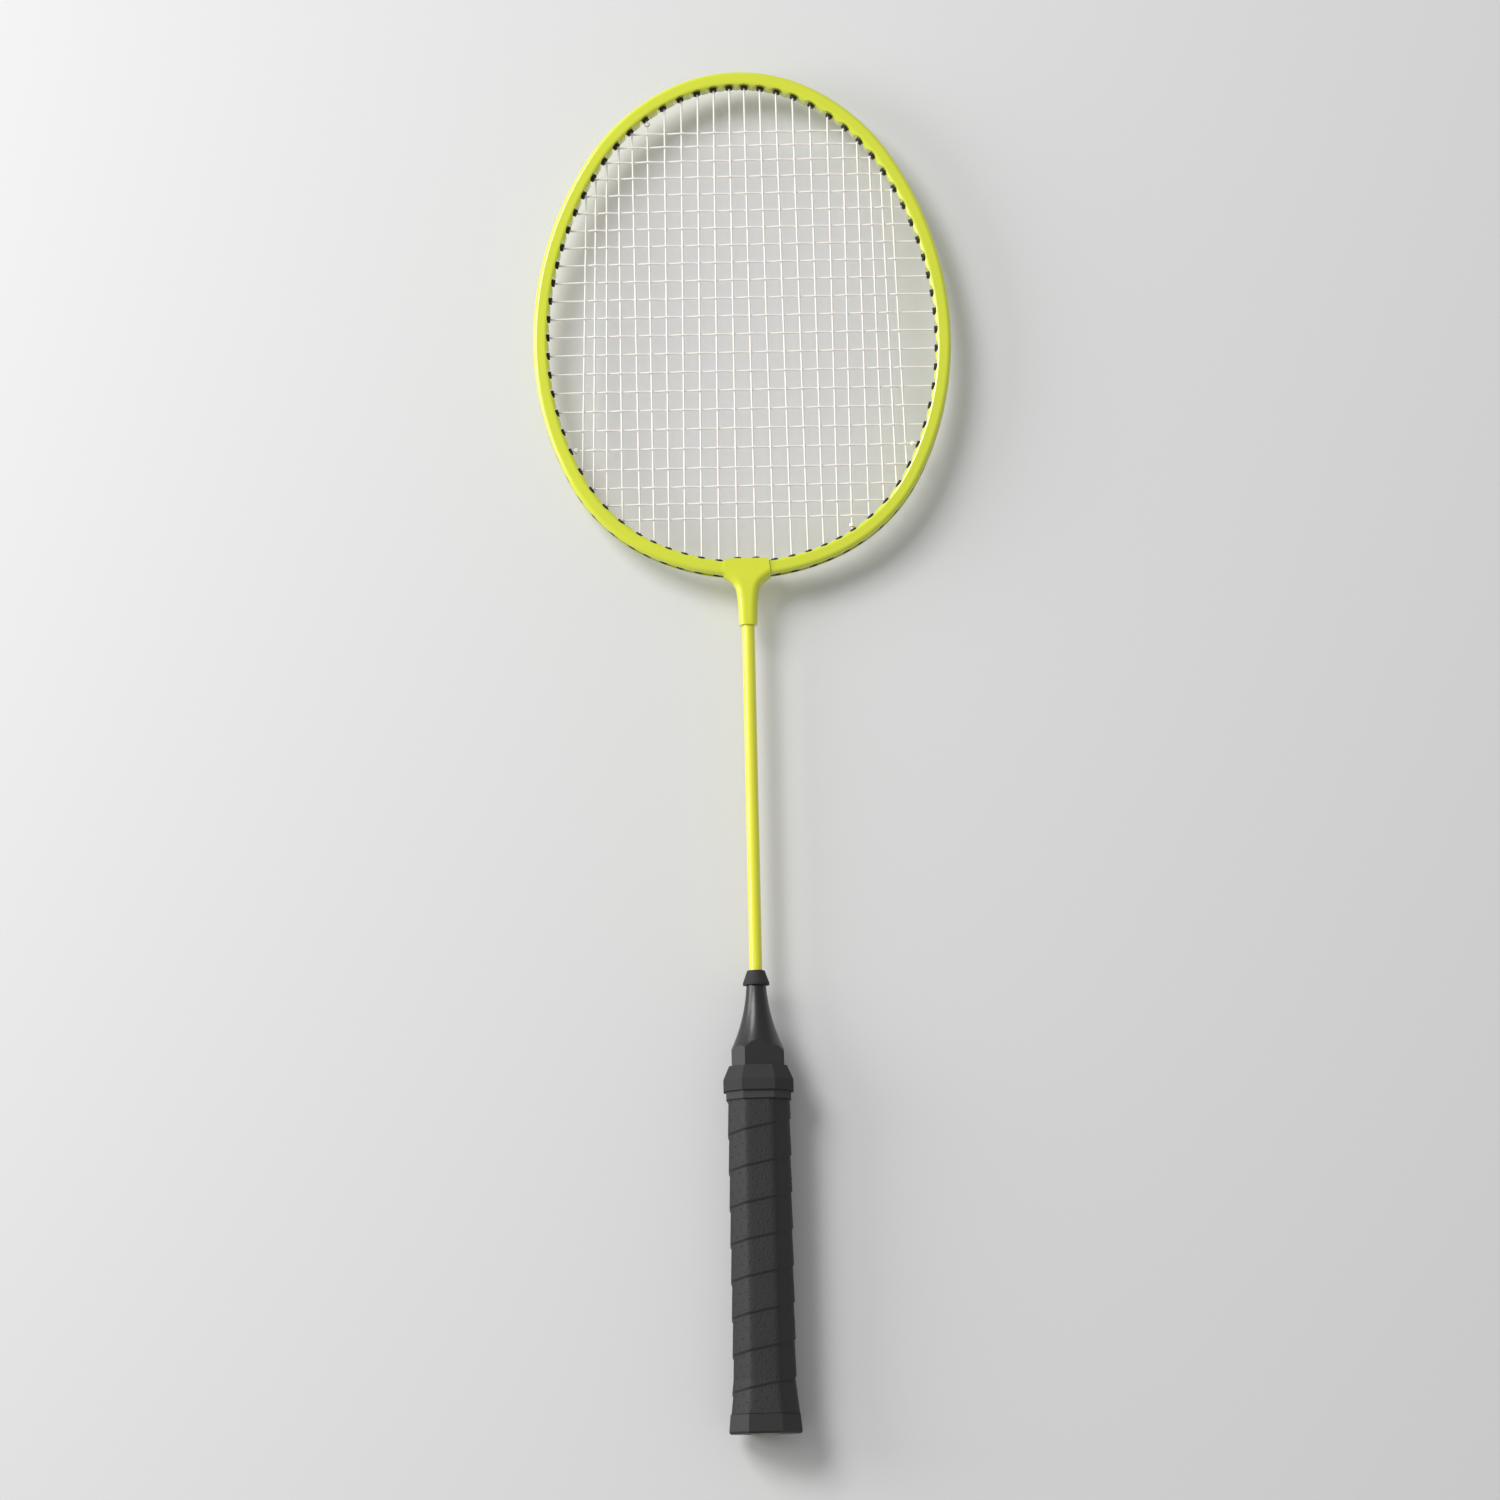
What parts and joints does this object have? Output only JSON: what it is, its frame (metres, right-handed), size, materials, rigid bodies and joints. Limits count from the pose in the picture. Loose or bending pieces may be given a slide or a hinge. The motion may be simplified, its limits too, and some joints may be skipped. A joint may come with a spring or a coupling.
{
  "type": "badminton racket",
  "caption": "Badminton racket with an oval strung head, a slim straight shaft and a wrapped octagonal handle, lying flat.",
  "frame": {"origin": "middle of the butt end's flat face, on the shaft's axis", "axes": "+Y along the shaft from the butt end to the head, +Z square to the string plane on the side of the main strings, X across the head"},
  "size_m": [0.205, 0.667, 0.0314],
  "materials": {
    "frame_paint": "gloss yellow-green enamel on aluminium tube",
    "throat_moulding": "gloss, coloured like the frame",
    "cast_core": "as cast",
    "shaft_enamel": "gloss yellow enamel on steel tube",
    "nylon_mains": "translucent off-white nylon",
    "nylon_crosses": "translucent off-white nylon",
    "grommet_nylon": "black nylon",
    "shared_grommet_nylon": "black nylon",
    "throat_grommet_nylon": "black nylon",
    "handle_wood": "sanded, unfinished",
    "pin_steel": "plain",
    "cone_plastic": "black, moulded",
    "ferrule_rubber": "black, soft",
    "underlay_foam": "grey foam",
    "grip_leathercloth": "black, grained and perforated",
    "finishing_tape": "woven-look vinyl tape",
    "collar_rubber": "black rubber",
    "cap_plastic": "black, moulded",
    "disc_plastic": "plain yellow-green disc",
    "nail_steel": "zinc plated"
  },
  "bodies": {
    "root": {"frame_hoop": "frame_paint", "throat_cover": "throat_moulding", "throat_core": "cast_core", "shaft": "shaft_enamel", "main_string": "nylon_mains", "cross_string": "nylon_crosses", "grommets_single": "grommet_nylon", "grommets_shared": "shared_grommet_nylon", "grommets_throat": "throat_grommet_nylon", "handle_core": "handle_wood", "handle_pin": "pin_steel", "handle_cone": "cone_plastic", "shaft_ferrule": "ferrule_rubber", "grip_underlay": "underlay_foam", "grip_wrap": "grip_leathercloth", "grip_tape": "finishing_tape", "grip_collar": "collar_rubber", "butt_cap": "cap_plastic", "butt_disc": "disc_plastic", "cap_nails": "nail_steel"}
  },
  "joints": []
}
